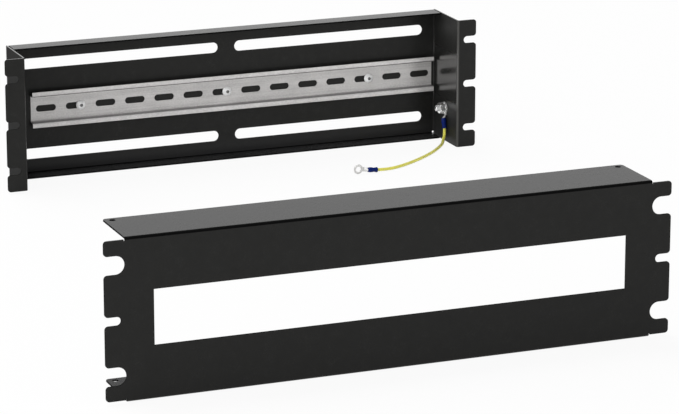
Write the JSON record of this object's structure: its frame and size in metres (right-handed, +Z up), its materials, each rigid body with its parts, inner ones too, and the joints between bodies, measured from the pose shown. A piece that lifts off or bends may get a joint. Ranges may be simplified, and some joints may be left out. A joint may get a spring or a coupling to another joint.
{
  "type": "rack-mount din rail panel",
  "caption": "Folded black sheet chassis for a 19-inch rack with a 35 mm DIN rail and an earth lead, and its separate front cover with a long window.",
  "frame": {"origin": "at the chassis's mid width, on the surface that it stands on, in the plane of the ears' rear faces, which the rack's posts meet", "axes": "+X along the panel to the right, +Y into the rack, +Z up"},
  "size_m": [0.5894, 0.6944, 0.132],
  "materials": {
    "powder_coat": "fine-textured satin black powder coat on steel sheet",
    "rail_zinc": "zinc-plated and passivated rolled strip, dull",
    "bright_zinc": "bright zinc plating",
    "tinned_copper": "tinned copper, bright",
    "sleeve_vinyl": "dark blue moulded vinyl, glossy",
    "wire_vinyl": "plain yellow vinyl, smooth"
  },
  "bodies": {
    "root": {"chassis": "powder_coat", "cover_panel": "powder_coat", "din_rail": "rail_zinc", "earth_lock_washer": "bright_zinc", "earth_nut": "bright_zinc", "earth_stud": "bright_zinc", "earth_wire": "wire_vinyl", "lug_fixed": "tinned_copper", "lug_free": "tinned_copper", "rail_nut_1": "bright_zinc", "rail_nut_2": "bright_zinc", "rail_nut_3": "bright_zinc", "rail_screw_1": "bright_zinc", "rail_screw_2": "bright_zinc", "rail_screw_3": "bright_zinc", "rail_washer_1": "bright_zinc", "rail_washer_2": "bright_zinc", "rail_washer_3": "bright_zinc", "sleeve_fixed": "sleeve_vinyl", "sleeve_free": "sleeve_vinyl"}
  },
  "joints": []
}
